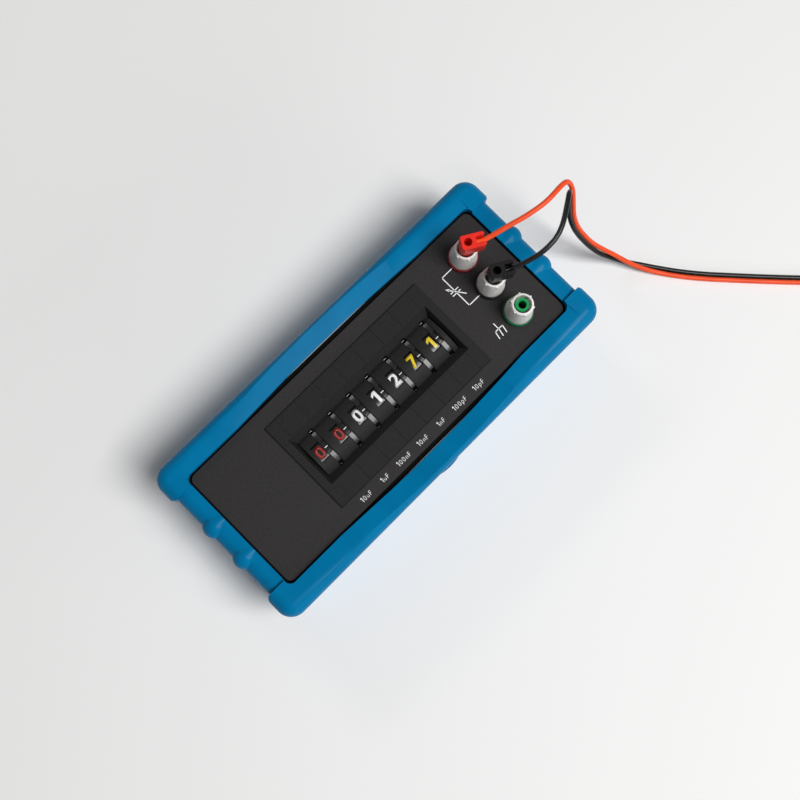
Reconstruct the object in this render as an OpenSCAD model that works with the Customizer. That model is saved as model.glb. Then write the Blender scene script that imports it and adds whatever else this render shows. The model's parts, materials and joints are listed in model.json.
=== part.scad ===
// Capacitance decade box: a rubber boot round a case with seven thumbwheel switches and three
// binding posts, and a twin test lead plugged into two of the posts.
// Millimetres. X runs along the box towards the posts, Y up the panel as it is read, Z up from
// the table, with the origin under the middle of the boot.

/* [Case] */
// Length of the case left of the switch bank
left_bay = 46.15; // [42:0.05:60]
// Length of the case right of the switch bank
right_bay = 48.65; // [45:0.05:60]
// Width of the case above and below the switch bank
side_bay = 12.1; // [10:0.1:18]
// Corner radius of the case
case_r = 5; // [4:0.5:7]
// Wall of the case
case_wall = 2.6; // [2:0.1:3]
// Floor of the case
case_floor = 2.5; // [2:0.1:4]
// Thickness of the rim that stands round the panel
rim_wall = 1.3; // [1:0.1:1.6]
// Open groove between the rim and the panel
panel_gap = 2.3; // [0.5:0.1:2.6]
// Thickness of the front panel
panel_t = 2; // [1.5:0.1:3]
// Corner radius of the front panel
panel_r = 3.5; // [1:0.5:5]
// Radius of the four long case screws
screw_r = 1.5; // [1.2:0.1:2]

/* [Boot] */
// Thickness of the boot outside the case at its four corner bumpers, along the length
boot_end_wall = 9.75; // [7:0.05:13]
// Thickness of the boot outside the long sides of the case
boot_side_wall = 10.1; // [8:0.1:13]
// Thickness of the boot under the case
boot_base = 3; // [2:0.1:5]
// Height of the boot's side rails above the panel
lip_rise = 4; // [3:0.1:6]
// How far the boot's lip reaches over the ends of the case
lip_over_end = 2.8; // [2:0.1:5]
// How far the boot's lip reaches over the long sides of the case
lip_over_side = 2.75; // [2:0.05:5]
// How far the ends between the bumpers are set back
end_set = 2.2; // [1:0.1:3]
// How far the end lips lie below the side rails
end_drop = 2.2; // [0.5:0.1:2.4]
// How far the side rails slope down towards the panel
rail_drop = 0.5; // [0.5:0.1:2.4]
// Distance from the middle line to each corner bumper
bumper_from = 31.5; // [26:0.5:36]
// Plan radius of the boot's corners
boot_plan_r = 8.5; // [8:0.5:12]
// Radius of the boot's upper outer edge
boot_top_r = 7; // [4:0.5:7.5]
// Radius of the boot's lower outer edge
boot_foot_r = 3; // [2:0.5:4]
// Length of the finger scoop in each side rail
scoop_l = 132; // [90:1:150]
// Width of rail left outside the deepest part of the scoop
scoop_edge = 2.3; // [1.5:0.1:4]
// Radius of the end ribs
rib_r = 6.5; // [4:0.1:8]
// Distance from the middle line to each end rib
rib_y = 10.3; // [8:0.1:16]

/* [Switches] */
// Width of one switch
pitch = 12.7; // [12:0.1:15]
// Width of the end cheek at each end of the bank
cheek_w = 6.35; // [5:0.05:9]
// Height of the switch fronts
bezel_h = 52.6; // [50:0.1:60]
// How far the switch fronts stand off the panel
bezel_rise = 1.2; // [0.8:0.1:2]
// Radius of a thumbwheel over its lugs
wheel_r = 20.9; // [19:0.1:22]
// How far the lugs stand out of the drum cover
lug_proud = 0.5; // [0.2:0.1:1]
// Thickness of the drum cover
cover_t = 1.5; // [1:0.1:2]
// Depth of the drum cover's crest below the switch fronts
crest_drop = 1.5; // [1:0.1:3]
// Width of the sunken well at the switch fronts
well_h = 30.2; // [27:0.1:32]
// Width of the sunken well at the drum covers
well_low = 21; // [20:0.1:23]
// How far the well reaches into each end cheek
well_end = 2.35; // [1.5:0.05:4]
// Width of a digit window
window_w = 5; // [4:0.1:5]
// Height of a digit window
window_h = 9.3; // [7:0.1:10]
// Width of a thumbwheel slot
slot_w = 2.5; // [2.2:0.1:2.5]
// Radius of the axle that a thumbwheel turns on
axle_r = 1.95; // [1.5:0.05:2.5]

/* [Posts] */
// Distance from the switch bank to the row of posts
post_off = 26.65; // [22:0.05:30]
// Spacing of the posts
post_pitch = 19.05; // [17:0.05:20]
// Radius of the test sockets
socket_r = 2; // [1.9:0.05:2.1]
// Radius of the threaded stud
stud_r = 3.4; // [2.9:0.1:3.4]
// Radius of the coloured flange
flange_r = 7.7; // [7.2:0.1:8.4]
// Thickness of the coloured flange
flange_t = 2.6; // [2:0.1:4]
// Radius of the clamp cap at its foot
cap_foot_r = 7; // [6.4:0.1:7.6]
// Radius of the clamp cap at its top
cap_top_r = 5.4; // [5.3:0.1:6]
// Height of the clamp cap
cap_h = 14; // [13:0.1:18]
// Lift of a clamp cap on a free post
free_lift = 4.5; // [3:0.1:5]
// Lift of a clamp cap under a plug
plugged_lift = 2; // [1:0.1:3]

/* [Test lead] */
// Length of a plug head
head_l = 11.8; // [11:0.1:16]
// Width of a plug head
head_w = 7; // [6.6:0.1:9]
// Height of a plug head
head_h = 8.5; // [7:0.1:12]
// Turn of the plug heads from the X axis, in degrees
head_turn = -30; // [-60:1:60]
// Diameter of one lead
lead_d = 2.6; // [2:0.1:3]
// Spacing of the two cores of the twin lead
core_gap = 2.7; // [2.2:0.1:3.2]

/* [Hidden] */
$fn = 48;
decades = 7;
eps = 0.02;

// Clearances
boot_fit = 0.15;
seat_gap = 0.3;
running_fit = 0.05;
slide_fit = 0.1;
part_gap = 0.4;

// Switch bank, worked out from one switch
bank_l = decades * pitch + 2 * cheek_w;
case_l = left_bay + bank_l + right_bay;
case_w = bezel_h + 2 * side_bay;
bank_x = left_bay - case_l / 2;
first_x = bank_x + cheek_w;
cover_r = wheel_r - lug_proud;
drum_room_r = cover_r - cover_t;
drum_r = drum_room_r - part_gap;
wheel_room_r = wheel_r + part_gap;
body_wall = 2.4;
body_h = 2 * (wheel_room_r + body_wall);
rear_wall = 1.2;
axis_depth = cover_r + crest_drop - bezel_rise;
switch_depth = axis_depth + wheel_room_r + rear_wall;
side_wall = 1.2;
slot_x = 7.3;
room_end = pitch - 1.8;
window_x = 2;
wheel_side = 0.15;
seam = 0.16;
split_w = 0.3;
web_t = 1.6;
lug_wide = 16;
lug_step = 36;
wiper_t = 0.3;
wiper_in = 5;
wiper_out = 8;
wiper_reach = 11;
wiper_w = 2.4;
wafer_t = 1.5;
wafer_fit = 0.1;
wafer_edge = 3.6;
wafer_tail = 4.3;
rod_r = 1.25;
rod_head_t = 1.3;
rod_nut_t = 2;
rod_y = body_h / 2 - 2.3;
rod_up = 14.5;
cheek_depth = 14;
cheek_set = 1.8;
barb_w = 16;
barb_h = 2.4;

// Levels
rear_clear = 1.3;
case_h = case_floor + rear_clear + switch_depth;
case_z = boot_base;
floor_z = case_z + case_floor;
panel_z = case_z + case_h;
panel_low = panel_z - panel_t;
bezel_z = panel_z + bezel_rise;
axis_z = panel_z - axis_depth;
rear_z = panel_z - switch_depth;
well_z = axis_z + sqrt(pow(cover_r, 2) - pow(well_low / 2, 2)) - 0.6;
rod_z = axis_z + rod_up;
wafer_low = axis_z - wheel_room_r + 1.9;
wafer_high = rod_z - rod_r - slide_fit - 0.55;

// Panel and boot
panel_l = case_l - 2 * (rim_wall + panel_gap);
panel_w = case_w - 2 * (rim_wall + panel_gap);
ledge = 1.6;
ledge_h = 4;
screw_inset = 9;
screw_head_r = screw_r + 1.3;
screw_head_t = 1.7;
screw_sink = 2;
column_r = screw_r + 2.5;
standoff_r = screw_r + 1.5;
standoff_h = 8;
standoff_top = 1;
boot_l = case_l + 2 * boot_end_wall;
boot_w = case_w + 2 * boot_side_wall;
boot_h = panel_z + lip_rise;
open_l = case_l - 2 * lip_over_end;
open_w = case_w - 2 * lip_over_side;
open_r = 3.5;
rib_out = 1.7;
rib_up = 1;
rib_run = 10;
rib_fall = 7;
scoop_step = 0.6;
rim_show = 0.5;
bare_l = scoop_l - 10;
pad_r = 24;
pad_out = 0.9;
pad_h = 24;

// Posts
post_x = bank_x + bank_l + post_off;
post_names = ["red", "black", "green"];
post_y = [post_pitch, 0, -post_pitch];
post_colours = [[0.72, 0.09, 0.08], [0.05, 0.05, 0.05], [0.03, 0.42, 0.24]];
shoulder_r = stud_r + 1;
washer_t = 0.8;
washer_r = 5.3;
bush_t = 2.6;
bush_r = 6.2;
tag_t = 0.8;
tag_r = 5;
tag_l = 11;
tag_w = 3.2;
nut_t = 3.2;
nut_r = 5.2;
flange_z = panel_z + flange_t;
washer_z = flange_z + seat_gap;
cap_z = washer_z + slide_fit;
thread_z = washer_z + washer_t + slide_fit;
cap_top = cap_z + cap_h;
thread_keep = 2.2;
cap_ribs = 6;
cap_rib_r = 0.55;
cap_rib_z = cap_z + 4;
cup_r = stud_r + 1;
stud_top = thread_z + free_lift + thread_keep;
cup_z = stud_top - 1;
cross_r = 1.4;
cross_z = flange_z + 2.2;
sleeve_top = cap_top - 1.4;
stud_low = panel_low - bush_t - tag_t - nut_t - 1.5;
bore_z = panel_z - 3.5;

// Plugs
neck_r = 3.4;
neck_z = sleeve_top + seat_gap;
head_z = cap_top + plugged_lift + 0.5;
head_back = 3.4;
head_edge_r = 1.2;
socket_floor = 0.5;
notch_l = 4.4;
notch_w = lead_d + 1;
pin_nose = 1.5;
lead_z = head_z + head_h / 2;
pin_r = socket_r - running_fit;
pin_z = bore_z + 1;

// Capacitor board, in the bay left of the switches
board_gap = 4;
board_l = left_bay - case_wall - 2 * board_gap;
board_w = case_w - 2 * (screw_inset + column_r + 2.4);
board_t = 1.6;
board_x = bank_x - board_gap - board_l / 2;
boss_h = 5;
boss_r = 2.5;
board_z = floor_z + boss_h;
board_top = board_z + board_t;
board_inset = 3.5;
board_screw_r = 0.95;
board_head_r = board_screw_r + 1.2;
board_head_t = 1.4;
board_keep = board_inset + board_head_r + part_gap;
film_count = 4;
film_gap = 1;
film_h = 12;
film_step = 2;
film_margin = 9;
film_shift = 4;
small_r = 1.6;
small_step = 4;
small_h = 7;
wire_r = 0.8;

// Lead routes, chosen by hand; the last figure of the twin route is its roll in degrees
red_way = [
  [93.5, 12, 76.4], [98.5, 10.5, 77.4], [103.5, 9, 78.2], [108, 8, 78.8], [112.5, 7.2, 79.2],
  [117.5, 6.8, 79.4], [122.5, 7, 79.2], [127, 7.3, 78.4], [131, 7, 76.2], [133, 5.4, 72.6]
];
black_way = [
  [92.5, -7.4, 76.2], [97, -8.5, 77.2], [102, -8.9, 78.2], [107, -8.5, 79], [111.8, -7, 79.6],
  [116.4, -4.6, 80], [120.8, -1.8, 80], [124.6, 0.6, 79.4], [127.4, 2.2, 77.8], [129.2, 2.6, 74.6]
];
twin_way = [
  [131.5, 1.5, 65, 180], [131.3, -1, 57.5, 180], [131, -3.7, 50, 180], [131.2, -7.2, 43, 180],
  [132.4, -11.1, 36, 180], [134.5, -15.6, 29, 180], [137.1, -20.5, 22.5, 175],
  [140.6, -26, 16.5, 150], [145, -32, 11, 115], [149.6, -39, 6.6, 75], [154.8, -46.7, 3.8, 35],
  [160.6, -54.9, 2.1, 10], [167.7, -64.5, 1.6, 0], [176.4, -75, 1.5, 0], [186, -85.5, 1.5, 0],
  [195.5, -95.7, 1.5, 0], [205, -105.7, 1.5, 0], [215, -116, 1.5, 0], [227, -128, 1.6, 0],
  [238, -139, 1.8, 0]
];
coil_in = 23.8;
coil_step = 6.2;
coil_turns = 3.25;
coil_turn_back = 2;
coil_layer = 3.4;
coil_low = 0.5 + lead_d / 2;
coil_rings = 24;
coil_run = 10;
coil_end_run = 37;
tie_w = 6;
tie_t = 0.8;
tie_foot = 0.4;
block_l = 18;
block_w = 28;
block_h = 11;
block_r = 2;
block_pin_l = 17;

// Rounded rectangle about the origin
module plan(l, w, r) {
  square([l - 2 * r, w], center = true);
  square([l, w - 2 * r], center = true);
  for (x = [-1, 1], y = [-1, 1])
    translate([x * (l / 2 - r), y * (w / 2 - r)]) circle(r);
}

// Flat plate with rounded corners, from one level up
module slab(l, w, r, z, h) {
  translate([0, 0, z]) linear_extrude(h) plan(l, w, r);
}

// Upright disc or ring
module disc(r, z, h) {
  translate([0, 0, z]) cylinder(r = r, h = h);
}

module ring(r_out, r_in, z, h) {
  difference() {
    disc(r_out, z, h);
    disc(r_in, z - 1, h + 2);
  }
}

// Cylinder along X about the thumbwheel axis, between two places across one switch
module wheel_disc(from, to, r) {
  translate([from, 0, axis_z]) rotate([0, 90, 0]) cylinder(r = r, h = to - from);
}

// Box from its least corner to its greatest
module span(low, high) {
  translate(low) cube(high - low);
}

// Outline extruded along X, its first coordinate along Y and its second along Z
module along_x(from, to) {
  translate([from, 0, 0]) rotate([90, 0, 90]) linear_extrude(to - from) children();
}

// Rounded edge of the boot, outwards from the centre of a corner
module edge_outline(h) {
  foot = boot_foot_r;
  top = boot_top_r;
  translate([0, foot]) square([boot_plan_r, h - foot - top]);
  square([boot_plan_r - foot, foot]);
  translate([0, h - top]) square([boot_plan_r - top, top]);
  intersection() {
    translate([boot_plan_r - top, h - top]) circle(top);
    translate([boot_plan_r - top, h - top]) square(top);
  }
  intersection() {
    translate([boot_plan_r - foot, foot]) circle(foot);
    translate([boot_plan_r - foot, 0]) square(foot);
  }
}

// Block with the boot's rounded corners and edges
module soft_block(l, w, h) {
  x = l / 2 - boot_plan_r;
  y = w / 2 - boot_plan_r;
  span([-x, -y, 0], [x, y, h]);
  for (quarter = [[x, y, 0], [-x, y, 90], [-x, -y, 180], [x, -y, 270]])
    translate([quarter[0], quarter[1], 0]) rotate(quarter[2])
      rotate_extrude(angle = 90) edge_outline(h);
  for (s = [0, 1]) {
    mirror([0, s, 0]) translate([0, y, 0]) along_x(-x, x) edge_outline(h);
    mirror([s, 0, 0]) translate([x, y, 0]) rotate([90, 0, 0])
      linear_extrude(2 * y) edge_outline(h);
  }
}

// Space between the two bumpers of one end
module end_space() {
  inner = open_l / 2 - 3;
  outer = boot_l / 2 + 1;
  run = outer - (boot_l / 2 - end_set);
  translate([0, 0, -1]) linear_extrude(boot_h + 2) polygon([
    [inner, -bumper_from], [boot_l / 2 - end_set, -bumper_from], [outer, -bumper_from - run],
    [outer, bumper_from + run], [boot_l / 2 - end_set, bumper_from], [inner, bumper_from]
  ]);
}

// Half-round rib that climbs one end, runs in over its lip and sinks into it
module end_rib(y) {
  x = boot_l / 2 - end_set - rib_r + rib_out;
  z = boot_h - end_drop - rib_r + rib_up;
  translate([x, y, boot_foot_r + rib_r]) sphere(rib_r);
  translate([x, y, boot_foot_r + rib_r]) cylinder(r = rib_r, h = z - boot_foot_r - rib_r);
  translate([x, y, z]) sphere(rib_r);
  translate([x, y, z]) rotate([0, -90 - rib_fall, 0]) cylinder(r = rib_r, h = rib_run);
}

// Low thumb pad on the outside of a side rail
module side_pad() {
  translate([0, boot_w / 2 + pad_out - pad_r, (boot_h - pad_h) / 2])
    cylinder(r = pad_r, h = pad_h);
}

// Finger scoop in a side rail: a slope down from a curved crease, and a long shallow cut at its
// foot that bares the rim of the case
module side_scoop() {
  out = boot_w / 2 - scoop_edge;
  out_z = boot_h - boot_top_r + sqrt(pow(boot_top_r, 2) - pow(boot_top_r - scoop_edge, 2));
  foot = case_w / 2 - rim_wall + rim_show;
  foot_z = panel_z + scoop_step;
  slope = (out - foot) / (out_z - foot_z);
  over = slope * (boot_h - rail_drop - out_z);
  bow = out - open_w / 2;
  r = (pow(scoop_l / 2, 2) + pow(bow, 2) - pow(over, 2)) / (2 * (bow + over));
  top_z = boot_h + 1;
  bare = foot - open_w / 2;
  bare_r = (pow(bare_l / 2, 2) + pow(bare, 2)) / (2 * bare);
  intersection() {
    union() {
      translate([0, out - r, foot_z])
        cylinder(h = top_z - foot_z, r1 = r - out + foot, r2 = r + slope * (top_z - out_z), $fn = 200);
      translate([0, foot - bare_r, panel_z]) cylinder(h = lip_rise + 1, r = bare_r, $fn = 300);
    }
    span([-scoop_l, open_w / 2 - 1, panel_z - 1], [scoop_l, boot_w, boot_h + 2]);
  }
}

// Slope of a side rail from its crest down to the opening
module rail_slope() {
  crest = boot_w / 2 - boot_top_r;
  top_z = boot_h + 1;
  along_x(-open_l / 2, open_l / 2) polygon([
    [open_w / 2 - 1, boot_h - rail_drop], [open_w / 2, boot_h - rail_drop], [crest, boot_h],
    [crest, top_z], [open_w / 2 - 1, top_z]
  ]);
}

module protective_boot() {
  color([0, 0.44, 0.69]) difference() {
    union() {
      soft_block(boot_l - 2 * end_set, boot_w, boot_h - end_drop);
      difference() {
        soft_block(boot_l, boot_w, boot_h);
        for (s = [0, 1]) mirror([s, 0, 0]) end_space();
      }
      for (s = [0, 1], y = [-rib_y, rib_y]) mirror([s, 0, 0]) end_rib(y);
      for (s = [0, 1]) mirror([0, s, 0]) side_pad();
    }
    slab(case_l + 2 * boot_fit, case_w + 2 * boot_fit, case_r + boot_fit, case_z, case_h);
    slab(open_l, open_w, open_r, panel_z - 1, lip_rise + 5);
    slab(open_l, open_w, open_r, -1, case_z + 2);
    for (s = [0, 1]) mirror([0, s, 0]) {
      rail_slope();
      side_scoop();
    }
  }
}

// Places of the four case screws
module at_screws() {
  for (x = [-1, 1], y = [-1, 1])
    translate([x * (case_l / 2 - screw_inset), y * (case_w / 2 - screw_inset), 0]) children();
}

// Places of the four capacitor board screws
module at_board_screws() {
  for (x = [-1, 1], y = [-1, 1])
    translate([board_x + x * (board_l / 2 - board_inset), y * (board_w / 2 - board_inset), 0])
      children();
}

module case_tub() {
  standoff_z = panel_low - standoff_h;
  color([0.08, 0.08, 0.09]) difference() {
    union() {
      difference() {
        slab(case_l, case_w, case_r, case_z, case_h);
        slab(case_l - 2 * case_wall, case_w - 2 * case_wall, case_r - 2, floor_z,
             panel_low - ledge_h - floor_z);
        slab(panel_l - 2 * ledge, panel_w - 2 * ledge, panel_r, floor_z + 1, case_h);
        slab(case_l - 2 * rim_wall, case_w - 2 * rim_wall, case_r - 1, panel_low, panel_t + 1);
      }
      at_screws() disc(column_r, floor_z - eps, standoff_z - floor_z + eps);
      at_board_screws() disc(boss_r, floor_z - eps, boss_h + eps);
    }
    at_screws() disc(screw_r + seat_gap, case_z - 1, case_h);
    at_screws() disc(screw_head_r + seat_gap, case_z - 1, screw_sink + 1);
    at_board_screws() disc(board_screw_r + running_fit, floor_z + 0.5, boss_h);
  }
}

module front_panel() {
  color([0.23, 0.22, 0.23]) difference() {
    slab(panel_l, panel_w, panel_r, panel_low, panel_t);
    span([bank_x + 1.5, -body_h / 2 - 0.3, panel_low - 1],
         [bank_x + bank_l - 1.5, body_h / 2 + 0.3, panel_z + 1]);
    for (y = post_y) translate([post_x, y, 0]) disc(shoulder_r + 0.2, panel_low - 1, panel_t + 2);
  }
}

module panel_standoffs() {
  color([0.75, 0.76, 0.78]) at_screws()
    difference() {
      disc(standoff_r, panel_low - standoff_h, standoff_h);
      disc(screw_r + running_fit, panel_low - standoff_h - 1, standoff_h + 1 - standoff_top);
    }
}

module case_screws() {
  seat_z = case_z + screw_sink;
  color([0.6, 0.61, 0.63]) at_screws() difference() {
    union() {
      disc(screw_r, seat_z - eps, panel_low - 2 * standoff_top - seat_z);
      disc(screw_head_r, seat_z - screw_head_t, screw_head_t);
    }
    for (turn = [0, 90]) rotate(turn)
      span([1 - screw_head_r, -0.3, case_z], [screw_head_r - 1, 0.3, case_z + 1]);
  }
}

// Sloped sides of the well, as an outline across the bank
module well_outline() {
  up = (well_h - well_low) / 2 / (bezel_z - well_z);
  polygon([
    [-well_low / 2, well_z], [well_low / 2, well_z],
    [well_h / 2 + up, bezel_z + 1], [-well_h / 2 - up, bezel_z + 1]
  ]);
}

// One end of the well, cut into an end cheek
module well_end_cut() {
  half = decades * pitch / 2;
  up = well_end / (bezel_z - well_z);
  intersection() {
    along_x(-half - cheek_w, half + cheek_w) well_outline();
    rotate(90) along_x(-well_h, well_h) polygon([
      [-half, well_z], [half, well_z],
      [half + well_end + up, bezel_z + 1], [-half - well_end - up, bezel_z + 1]
    ]);
  }
}

// End cheek on the right of the bank, with its snap barb under the panel
module cheek() {
  half = decades * pitch / 2;
  color([0.06, 0.06, 0.06]) difference() {
    union() {
      span([half, -bezel_h / 2, panel_z], [half + cheek_w, bezel_h / 2, bezel_z]);
      span([half, -body_h / 2, panel_z - cheek_depth],
           [half + cheek_w - cheek_set, body_h / 2, panel_z + eps]);
      span([half + 1, -barb_w / 2, panel_low - barb_h - slide_fit],
           [half + cheek_w - cheek_set + 1, barb_w / 2, panel_low - slide_fit]);
    }
    well_end_cut();
    rod_holes(half - 1, half + cheek_w);
  }
}

module left_cheek() {
  translate([bank_x + bank_l / 2, 0, 0]) mirror([1, 0, 0]) cheek();
}

module right_cheek() {
  translate([bank_x + bank_l / 2, 0, 0]) cheek();
}

module rod_holes(from, to) {
  for (y = [-rod_y, rod_y])
    translate([from, y, rod_z]) rotate([0, 90, 0]) cylinder(r = rod_r + slide_fit, h = to - from);
}

// Puts a piece of one switch at its place in the bank
module at_switch(k) {
  translate([first_x + (k - 1) * pitch, 0, 0]) children();
}

// Moulded switch body: front, drum cover with window and wheel slot, and the axle
module switch_housing(k) {
  split = slot_x + slot_w + 0.2;
  window_low = axis_z + drum_r - 5;
  color([0.06, 0.06, 0.06]) at_switch(k) {
    difference() {
      union() {
        span([0, -bezel_h / 2, panel_z], [pitch, bezel_h / 2, bezel_z]);
        span([0, -body_h / 2, rear_z], [pitch, body_h / 2, panel_z + eps]);
      }
      wheel_disc(side_wall, room_end, drum_room_r);
      wheel_disc(slot_x, slot_x + slot_w, wheel_room_r);
      difference() {
        along_x(-1, pitch + 1) well_outline();
        wheel_disc(-2, pitch + 2, cover_r);
      }
      span([window_x, -window_h / 2, window_low], [window_x + window_w, window_h / 2, bezel_z]);
      difference() {
        span([split, -well_low / 2, window_low], [split + split_w, well_low / 2, bezel_z]);
        wheel_disc(0, pitch, cover_r - 0.5);
      }
      for (x = [0, pitch]) translate([x, 0, bezel_z]) rotate([0, 45, 0])
        cube([seam, bezel_h + 2, seam], center = true);
      span([room_end - eps, wafer_edge - seat_gap - body_h / 2, wafer_low - seat_gap],
           [pitch + 1, body_h / 2 + 1, wafer_high + seat_gap]);
      rod_holes(-1, pitch + 1);
    }
    wheel_disc(side_wall - eps, room_end - 0.4, axle_r);
  }
}

// One lug of a thumbwheel, at an angle from straight up
module lug(angle, wide) {
  translate([slot_x + wheel_side, 0, axis_z]) rotate([0, 90, 0]) rotate(180 - angle - wide / 2)
    rotate_extrude(angle = wide) translate([drum_r - 2, 0])
      square([wheel_r - drum_r + 2, slot_w - 2 * wheel_side]);
}

// Thumbwheel: digit drum, web with ten lugs, and a hub on the axle
module thumbwheel(k) {
  left = side_wall + 0.4;
  web = slot_x + wheel_side;
  right = slot_x + slot_w - wheel_side;
  color([0.05, 0.05, 0.05]) at_switch(k) difference() {
    union() {
      difference() {
        wheel_disc(left, right, drum_r);
        wheel_disc(left - 1, web, drum_r - web_t);
      }
      wheel_disc(left, right, axle_r + web_t);
      for (i = [0:9]) lug(lug_step * (i + 0.5), lug_wide);
    }
    wheel_disc(0, pitch, axle_r + running_fit);
  }
}

// Spring contact on the side of a thumbwheel
module wiper(k) {
  face = slot_x + slot_w - wheel_side;
  color([0.78, 0.58, 0.25]) at_switch(k) difference() {
    union() {
      wheel_disc(face, face + wiper_t, wiper_out);
      for (s = [0, 1]) mirror([0, s, 0])
        span([face, wiper_out - 1, axis_z - wiper_w / 2],
             [face + wiper_t, wiper_reach, axis_z + wiper_w / 2]);
    }
    wheel_disc(face - 1, face + 1, wiper_in);
  }
}

// Contact board of each switch, with a tail for its wiring
module switch_wafers() {
  color([0.55, 0.42, 0.2]) for (k = [1:decades]) at_switch(k)
    span([pitch - wafer_fit - wafer_t, wafer_edge - body_h / 2, wafer_low],
         [pitch - wafer_fit, body_h / 2 + wafer_tail, wafer_high]);
}

// Two rods that draw the bank together, each with its head and nut
module tie_rods() {
  left = bank_x + cheek_set;
  right = bank_x + bank_l - cheek_set;
  color([0.75, 0.76, 0.78]) for (y = [-rod_y, rod_y]) translate([0, y, rod_z]) rotate([0, 90, 0]) {
    translate([0, 0, left]) cylinder(r = rod_r, h = right - left + rod_nut_t + 1);
    translate([0, 0, left - rod_head_t]) cylinder(r = rod_r + 0.95, h = rod_head_t);
    translate([0, 0, right]) cylinder(r = rod_r + 1.15, h = rod_nut_t, $fn = 6);
  }
}

// Puts a piece of one post at its place
module at_post(i) {
  translate([post_x, post_y[i], 0]) children();
}

// Coloured insulating flange with a shoulder through the panel
module post_base(i) {
  color(post_colours[i]) at_post(i) difference() {
    union() {
      disc(flange_r, panel_z, flange_t);
      disc(shoulder_r, panel_low, panel_t + eps);
    }
    disc(stud_r + slide_fit, panel_low - 1, panel_t + flange_t + 2);
  }
}

// Coloured sleeve round the mouth of the socket
module post_sleeve(i) {
  color(post_colours[i]) at_post(i) ring(stud_r - slide_fit, socket_r, stud_top, sleeve_top - stud_top);
}

// Clamp washer held in the foot of the cap
module post_washer(i) {
  color([0.8, 0.8, 0.78]) at_post(i) ring(washer_r, stud_r + running_fit, washer_z, washer_t);
}

// Ribbed clamp cap, threaded on the stud
module post_cap(i) {
  color([0.82, 0.8, 0.78]) at_post(i) {
    rotate_extrude() polygon([
      [washer_r + 0.3, cap_z], [cap_foot_r, cap_z], [cap_foot_r, cap_z + 0.8],
      [cap_top_r, cap_top - 0.5], [cap_top_r - 0.5, cap_top], [cup_r, cap_top], [cup_r, cup_z],
      [stud_r + running_fit, cup_z], [stud_r + running_fit, thread_z], [washer_r + 0.3, thread_z]
    ]);
    for (turn = [0:360 / cap_ribs:359]) rotate(turn) translate([cap_top_r - 0.05, 0, cap_rib_z])
      cylinder(r = cap_rib_r, h = cap_top - 0.4 - cap_rib_z);
  }
}

module post_studs() {
  color([0.8, 0.66, 0.32]) for (i = [0:2]) at_post(i) difference() {
    disc(stud_r, stud_low, stud_top - stud_low);
    disc(socket_r, bore_z, stud_top);
    translate([-stud_r - 1, 0, cross_z]) rotate([0, 90, 0])
      cylinder(r = cross_r, h = 2 * stud_r + 2);
  }
}

module post_bushes() {
  color([0.07, 0.07, 0.07]) for (i = [0:2]) at_post(i)
    ring(bush_r, stud_r + slide_fit, panel_low - bush_t, bush_t);
}

module solder_tags() {
  z = panel_low - bush_t - tag_t;
  color([0.8, 0.8, 0.78]) for (i = [0:2]) at_post(i) difference() {
    union() {
      disc(tag_r, z, tag_t);
      span([-tag_l, -tag_w / 2, z], [0, tag_w / 2, z + tag_t]);
    }
    disc(stud_r + slide_fit, z - 1, tag_t + 2);
  }
}

module post_nuts() {
  color([0.8, 0.66, 0.32]) for (i = [0:2]) at_post(i) difference() {
    translate([0, 0, panel_low - bush_t - tag_t - nut_t]) cylinder(r = nut_r, h = nut_t, $fn = 6);
    disc(stud_r + running_fit, stud_low, panel_low - stud_low);
  }
}

module capacitor_board() {
  color([0.1, 0.35, 0.16]) difference() {
    translate([board_x, 0, 0]) slab(board_l, board_w, 1.5, board_z, board_t);
    at_board_screws() disc(board_screw_r + seat_gap, board_z - 1, board_t + 2);
  }
}

module board_screws() {
  color([0.6, 0.61, 0.63]) at_board_screws() {
    disc(board_screw_r, board_z - boss_h + 1, boss_h - 1 + board_t);
    disc(board_head_r, board_top, board_head_t);
  }
}

// Boxed film capacitors of the large decades
module film_capacitors() {
  l = board_l - 2 * board_keep;
  w = (board_w - 2 * film_margin) / film_count;
  color([0.1, 0.25, 0.55]) for (i = [0:film_count - 1])
    translate([board_x, (i - (film_count - 1) / 2) * (w + film_gap) + film_shift, 0])
      slab(l, w, 0.8, board_top, film_h + film_step * i);
}

// Small capacitors of the low decades, in a row along the edge of the board
module small_capacitors() {
  last = floor((board_l - 2 * (board_keep + small_r)) / small_step);
  color([0.72, 0.45, 0.16]) for (i = [0:last])
    translate([board_x + (i - last / 2) * small_step, board_inset - board_w / 2, 0])
      disc(small_r, board_top, small_h);
}

function unit(v) = v / norm(v);
function flat(p) = [p[0], p[1], p[2]];
function step_of(way, i) =
  unit(flat(way[min(i + 1, len(way) - 1)]) - flat(way[max(i - 1, 0)]));
// Level vector to the right of travel, and the one over it, both turned by the roll
function side_of(t, roll) =
  let (level = unit(cross(t, [0, 0, 1])), over = cross(level, t))
  cos(roll) * level + sin(roll) * over;
function ring_at(p, t, side, outline) =
  [for (q = outline) flat(p) + q[0] * side + q[1] * cross(side, t)];
function round_outline(r, n) =
  [for (i = [0:n - 1]) r * [cos(360 * (i + 0.5) / n), sin(360 * (i + 0.5) / n)]];
function sum_steps(way, i) =
  i >= len(way) ? 0 : norm(flat(way[i]) - flat(way[i - 1])) + sum_steps(way, i + 1);
// Two cores side by side, as an outline of 8 or of 6 points
function twin_outline(n) =
  let (r = lead_d / 2, h = core_gap / 2)
  n == 8
    ? [[h + r, -r / 2], [h + r, r / 2], [h + r / 3, r], [-h - r / 3, r], [-h - r, r / 2],
       [-h - r, -r / 2], [-h - r / 3, -r], [h + r / 3, -r]]
    : [[h + r, 0], [h + r / 3, r], [-h - r / 3, r], [-h - r, 0], [-h - r / 3, -r], [h + r / 3, -r]];

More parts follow.
